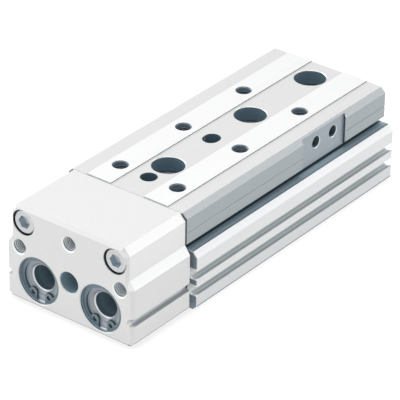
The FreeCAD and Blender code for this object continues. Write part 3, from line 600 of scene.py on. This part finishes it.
# Bright zinc plating on the two cap screws: pale heads with a soft shine. Painted highlight on the outer
# rim of the heads, painted shade on the walls of the hexagon sockets, and a painted glint on their floors
capScrewSkin = {
    "name": "zinc plated cap screw", "darkHex": "#B2B5B8", "lightHex": "#CBCDCF", "metallic": 0.35,
    "roughness": (0.28, 0.42), "grain": 0.6, "depth": 0.004,
    # painted highlight on the outer rim of the head; painted shade on the socket walls and a painted glint
    # on the socket floor
    "bevelReach": 4.45, "bevelHexes": ("#E2E4E5", "#F2F3F3"),
    "socketReach": 2.95, "socketDepth": 3.0, "socketHexes": ("#97A7B2", "#A3B2BC"),
    "floorHexes": ("#F6F7F7", "#FFFFFF"),
}


def capScrewZones(tree, place, settings):
    folded = foldedPlace(tree, place)
    distance = axisDistance(tree, folded.place, screwAxis, "Y")
    bevel = above(tree, distance, settings["bevelReach"])
    inSocket = below(tree, distance, settings["socketReach"])
    floorAt = screwLow.y + settings["socketDepth"]
    walls = allOf(tree, inSocket, between(tree, folded.y, screwLow.y + margin, floorAt - margin))
    floors = allOf(tree, inSocket, between(tree, folded.y, floorAt - margin, floorAt + margin))
    return [
        (bevel, settings["bevelHexes"]), (walls, settings["socketHexes"]), (floors, settings["floorHexes"]),
    ]


# Turned and plated washer: grey with faint lathe rings. Painted light on its outer rim, a painted highlight
# on the edge round its hole, and painted shade in the hole
washerSkin = {
    "name": "turned plated steel washer", "darkHex": "#868D94", "lightHex": "#9CA3A8", "metallic": 0.4,
    "roughness": (0.32, 0.44), "grain": 0.5, "ring": 0.3, "depth": 0.006,
    # painted light on the outer rim, painted highlight on the hole's edge, painted shade in the hole
    "rimReach": 7.6, "rimHexes": ("#A6B1B8", "#B6C0C6"),
    "edgeReach": 5.75, "edgeHexes": ("#D9DDE0", "#E8EBED"),
    "holeReach": 5.33, "holeHexes": ("#5E7581", "#6B828E"),
}


def washerZones(tree, place, settings):
    distance = axisDistance(tree, foldedPlace(tree, place).place, boreAxis, "Y")
    rim = above(tree, distance, settings["rimReach"])
    edge = below(tree, distance, settings["edgeReach"])
    hole = below(tree, distance, settings["holeReach"])
    return [(rim, settings["rimHexes"]), (edge, settings["edgeHexes"]), (hole, settings["holeHexes"])]


# Spring steel, tempered and oiled: mid grey with a cool cast. Its punched edges and lug holes are painted
# nearly black as painted shade
circlipSkin = {
    "name": "oiled spring steel circlip", "darkHex": "#62727A", "lightHex": "#76868D", "metallic": 0.5,
    # edgeHexes: painted shade on the punched edges and the lug hole walls
    "roughness": (0.34, 0.48), "grain": 0.35, "depth": 0.004, "edgeHexes": ("#43525D", "#4F5E69"),
}


def circlipZonesFor(node):
    low, high = boxOf(node)

    def zones(tree, place, settings):
        thickness = between(tree, foldedPlace(tree, place).y, low.y + margin, high.y - margin)
        return [(thickness, settings["edgeHexes"])]

    return zones


# Hardened and ground steel rail: grey from its oil film, with fine grinding lines along the stroke. The
# walls of its holes are drawn lighter than they look, since little light gets down to them.
railSkin = {
    "name": "oiled rail steel", "darkHex": "#8A949B", "lightHex": "#A6AFB5", "metallic": 0.6,
    "roughness": (0.26, 0.4), "grain": 0.5, "streak": 0.3, "stretch": (1.0, 0.01, 1.0), "depth": 0.004,
    "racewayDepth": 3.0, "holeHexes": ("#E2EAF0", "#F4FAFF"),
}


def railZones(tree, place, settings):
    folded = foldedPlace(tree, place)
    low, high = boxOf("guide_rail")
    within = allOf(tree, below(tree, folded.x, high.x - settings["racewayDepth"]),
                   between(tree, folded.y, low.y + margin, high.y - margin),
                   between(tree, folded.z, low.z + margin, high.z - margin))
    return [(within, settings["holeHexes"])]


# Finishes of one pair of colours each, for the threads and the pieces inside
finishes = {
    # Tapped threads, bright on the crests of the ridges where they catch the light
    "tappedAluminium": {
        "name": "tapped aluminium thread", "darkHex": "#D6DDE1", "lightHex": "#EBEFF1", "metallic": 0.1,
        "roughness": (0.35, 0.5), "grain": 0.4, "depth": 0.004,
    },
    # Tapped threads in steel, dark with painted shade
    "tappedSteel": {
        "name": "tapped steel thread with painted shade", "darkHex": "#43535F", "lightHex": "#4E5E6A",
        "metallic": 0.2, "roughness": (0.35, 0.5), "grain": 0.4, "depth": 0.004,
    },
    # Bright zinc plating: pale grey, soft shine, a slightly cloudy grain
    "zinc": {
        "name": "bright zinc plated steel", "darkHex": "#CDD0D3", "lightHex": "#EDEEEF", "metallic": 0.8,
        "roughness": (0.26, 0.4), "grain": 0.6, "depth": 0.004,
    },
    # Blackened steel, turned: slate with a soft shine, drawn lighter than it looks deep in its bore
    "blackened": {
        "name": "blackened turned steel", "darkHex": "#6F838F", "lightHex": "#7F939E", "metallic": 0.3,
        "roughness": (0.4, 0.55), "grain": 0.4, "ring": 0.3, "depth": 0.005,
    },
    # Hard chrome, ground and polished: bright with hairlines round the rod
    "chrome": {
        "name": "polished hard chrome", "darkHex": "#C9CCCF", "lightHex": "#DADCDE", "metallic": 1.0,
        "roughness": (0.1, 0.18), "grain": 0.8, "ring": 0.2, "depth": 0.0015,
    },
    # Bearing bronze, turned: warm dull yellow with lathe rings
    "bronze": {
        "name": "turned bearing bronze", "darkHex": "#A9834F", "lightHex": "#C29A62", "metallic": 0.9,
        "roughness": (0.3, 0.42), "grain": 0.5, "ring": 0.25, "depth": 0.006,
    },
    # Ball bearing steel, lapped: a near mirror
    "ball": {
        "name": "lapped bearing steel", "darkHex": "#CCCFD2", "lightHex": "#D8DADC", "metallic": 1.0,
        "roughness": (0.06, 0.1), "grain": 1.0, "depth": 0.0005,
    },
    # Turned aluminium, clear anodised: pale with lathe rings
    "turnedAluminium": {
        "name": "turned anodised aluminium", "darkHex": "#CED3D7", "lightHex": "#E6E9EB", "metallic": 0.5,
        "roughness": (0.36, 0.5), "grain": 0.4, "ring": 0.35, "depth": 0.008,
    },
    # Acetal, moulded: milky white, a little waxy
    "acetal": {
        "name": "moulded acetal", "darkHex": "#DDD9CE", "lightHex": "#E6E3DA", "metallic": 0.0, "ior": 1.48,
        "roughness": (0.34, 0.44), "grain": 1.2, "depth": 0.004,
    },
    # Nitrile rubber, moulded: near black and dull
    "rubber": {
        "name": "moulded nitrile rubber", "darkHex": "#1B1C1D", "lightHex": "#29292A", "metallic": 0.0,
        "ior": 1.52, "roughness": (0.55, 0.7), "grain": 0.5, "depth": 0.006,
    },
    # Filled fluoropolymer band: grey brown, silky
    "band": {
        "name": "filled fluoropolymer", "darkHex": "#4A4843", "lightHex": "#5A5852", "metallic": 0.0,
        "ior": 1.36, "roughness": (0.4, 0.5), "grain": 0.4, "depth": 0.003,
    },
    # Ferrite, sintered and ground: charcoal with a fine grit
    "ferrite": {
        "name": "sintered ferrite", "darkHex": "#242527", "lightHex": "#34363A", "metallic": 0.2,
        "roughness": (0.42, 0.6), "grain": 0.25, "depth": 0.005,
    },
}

finishOf = {
    "guide_rail_screws": "zinc", "front_cage_stop": "zinc", "rear_cage_stop": "zinc",
    "cage_stop_screws": "zinc",
}
finishOfPair = {
    # pieces that are there on the left and on the right
    "rod_head": "blackened", "float_ring": "rubber", "piston_rod": "chrome", "piston": "turnedAluminium",
    "front_piston_seal": "rubber", "rear_piston_seal": "rubber", "guide_band": "band", "magnet": "ferrite",
    "rod_bearing": "bronze", "bearing_ring": "rubber", "rod_seal": "rubber", "front_buffer": "rubber",
    "rear_buffer": "rubber", "end_cap": "turnedAluminium", "end_cap_ring": "rubber",
    "ball_cage": "acetal", "balls": "ball",
}


def dressNodes():
    made = {key: finishWith(settings) for key, settings in finishes.items()}
    given = {
        "housing": finishWith(housingSkin, housingZones), "yoke": finishWith(yokeSkin, yokeZones),
        "slide": finishWith(slideSkin, slideZones), "yoke_screws": finishWith(capScrewSkin, capScrewZones),
        "guide_rail": finishWith(railSkin, railZones),
    }
    washer = finishWith(washerSkin, washerZones)
    circlips = {part: finishWith(circlipSkin, circlipZonesFor(f"right_{part}"))
                for part in ("yoke_circlip", "bearing_circlip", "end_cap_circlip")}
    given.update({node: made[key] for node, key in finishOf.items()})
    for side in ("left", "right"):
        given.update({f"{side}_{part}": made[key] for part, key in finishOfPair.items()})
        given.update({f"{side}_{part}": material for part, material in circlips.items()})
        given[f"{side}_retaining_washer"] = washer
    for name, node in nodes.items():
        node.data.materials.clear()
        node.data.materials.append(given[name])


dressNodes()
print("finishes on all nodes")


# Threads. The frame's threaded holes are plain and as wide as the thread, so each gets a lining of ridges.

threadKinds = {
    # face is where the holes start along the direction out of them; sizes in mm
    "front_threads": {
        "mounts": ("yoke_threads_side", "yoke_thread_top"), "face": -yokeLow.y, "mouth": 0.6,
        "radius": 3.0, "pitch": 1.0, "turns": 11, "body": "carriage", "slot": "anodised_aluminium",
        "finish": "tappedAluminium",
    },
    "table_threads": {
        "mounts": ("table_threads_outer", "table_threads_middle"), "face": slideHigh.z, "mouth": 1.1,
        "radius": 3.0, "pitch": 1.0, "turns": 5, "body": "carriage", "slot": "guide_steel",
        "finish": "tappedSteel",
    },
    "side_threads": {
        "mounts": ("side_thread_right_front", "side_thread_right_rear", "side_thread_left_front",
                   "side_thread_left_rear"),
        "face": sidePocketFloor, "mouth": 0.3, "radius": 2.5, "pitch": 0.8, "turns": 8,
        "body": "carriage", "slot": "guide_steel", "finish": "tappedSteel",
    },
    "port_threads": {
        "mounts": ("air_ports",), "face": housingHigh.y, "mouth": 0.7, "radius": 2.5, "pitch": 0.8,
        "turns": 7, "body": "housing_group", "slot": "anodised_aluminium", "finish": "tappedAluminium",
    },
}

ridge = {
    # shares of the pitch
    "height": 0.54, "base": 0.875, "crest": 0.25, "start": 0.45,
    "sink": 0.04,  # mm that the ridge goes into the wall
    "stepsPerTurn": 28,
}


def threadTree():
    tree = bpy.data.node_groups.new("thread lining", "GeometryNodeTree")
    tree.interface.new_socket("Mouths", in_out="INPUT", socket_type="NodeSocketGeometry")
    for name in ("Radius", "Pitch", "Turns", "Ridge height", "Ridge base", "Ridge crest", "Sink"):
        tree.interface.new_socket(name, in_out="INPUT", socket_type="NodeSocketFloat")
    tree.interface.new_socket("Finish", in_out="INPUT", socket_type="NodeSocketMaterial")
    tree.interface.new_socket("Lining", in_out="OUTPUT", socket_type="NodeSocketGeometry")
    given = addNode(tree, "NodeGroupInput", {}).outputs
    depth = addNode(tree, "ShaderNodeMath", {0: given["Pitch"], 1: given["Turns"]}, operation="MULTIPLY")
    helix = addNode(tree, "GeometryNodeCurveSpiral", {
        "Resolution": ridge["stepsPerTurn"], "Rotations": given["Turns"], "Start Radius": given["Radius"],
        "End Radius": given["Radius"], "Height": depth.outputs[0]}).outputs[0]
    levelled = addNode(tree, "GeometryNodeSetCurveNormal", {"Curve": helix}, mode="Z_UP").outputs[0]
    section = addNode(tree, "GeometryNodeCurvePrimitiveQuadrilateral", {
        "Bottom Width": given["Ridge base"], "Top Width": given["Ridge crest"],
        "Height": given["Ridge height"], "Offset": 0.0}, mode="TRAPEZOID").outputs[0]
    # The foot of the ridge lies in the wall and its crest points to the middle of the hole
    halfHeight = addNode(tree, "ShaderNodeMath", {0: given["Ridge height"], 1: -0.5}, operation="MULTIPLY")
    inset = addNode(tree, "ShaderNodeMath", {0: halfHeight.outputs[0], 1: given["Sink"]}, operation="ADD")
    shift = addNode(tree, "ShaderNodeCombineXYZ", {"X": inset.outputs[0]}).outputs[0]
    placed = addNode(tree, "GeometryNodeTransform", {
        "Geometry": section, "Translation": shift, "Rotation": (0, 0, math.pi / 2)}).outputs[0]
    swept = addNode(tree, "GeometryNodeCurveToMesh", {
        "Curve": levelled, "Profile Curve": placed, "Fill Caps": True}).outputs[0]
    inward = addNode(tree, "GeometryNodeInputNamedAttribute", {"Name": "inward"}, data_type="FLOAT_VECTOR")
    turned = addNode(tree, "FunctionNodeAlignRotationToVector", {"Vector": inward.outputs[0]}, axis="Z")
    spread = addNode(tree, "GeometryNodeInstanceOnPoints", {
        "Points": given["Mouths"], "Instance": swept, "Rotation": turned.outputs[0]}).outputs[0]
    real = addNode(tree, "GeometryNodeRealizeInstances", {"Geometry": spread}).outputs[0]
    coated = addNode(tree, "GeometryNodeSetMaterial", {"Geometry": real, "Material": given["Finish"]})
    addNode(tree, "NodeGroupOutput", {"Lining": coated.outputs[0]})
    return tree


def lineThreads(name, settings, tree, finish):
    starts = []
    inward = []
    firstTurn = settings["face"] - settings["mouth"] - ridge["start"] * settings["pitch"]
    for middle, outward in holePlaces(*settings["mounts"]):
        starts.append((middle + outward * (firstTurn - middle.dot(outward))) * mm)
        inward.append(-outward)
    mesh = bpy.data.meshes.new(name)
    mesh.from_pydata(starts, [], [])
    mesh.attributes.new("inward", "FLOAT_VECTOR", "POINT").data.foreach_set(
        "vector", [value for vector in inward for value in vector])
    piece = bpy.data.objects.new(name, mesh)
    bpy.context.scene.collection.objects.link(piece)
    modifier = piece.modifiers.new("threads", "NODES")
    modifier.node_group = tree
    pitch = settings["pitch"] * mm
    values = {
        "Radius": settings["radius"] * mm, "Pitch": pitch, "Turns": float(settings["turns"]),
        "Ridge height": ridge["height"] * pitch + ridge["sink"] * mm, "Ridge base": ridge["base"] * pitch,
        "Ridge crest": ridge["crest"] * pitch, "Sink": ridge["sink"] * mm, "Finish": finish,
    }
    for socket in tree.interface.items_tree:
        if socket.name in values:
            modifier[socket.identifier] = values[socket.name]
    made = piece.evaluated_get(bpy.context.evaluated_depsgraph_get())
    piece.data = bpy.data.meshes.new_from_object(made)
    piece.modifiers.clear()
    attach(piece, settings["body"])
    return piece


threads = threadTree()
for kindName, kind in threadKinds.items():
    lining = lineThreads(kindName, kind, threads, finishWith(finishes[kind["finish"]]))
    print(kindName, "lined with", len(lining.data.polygons), "faces")
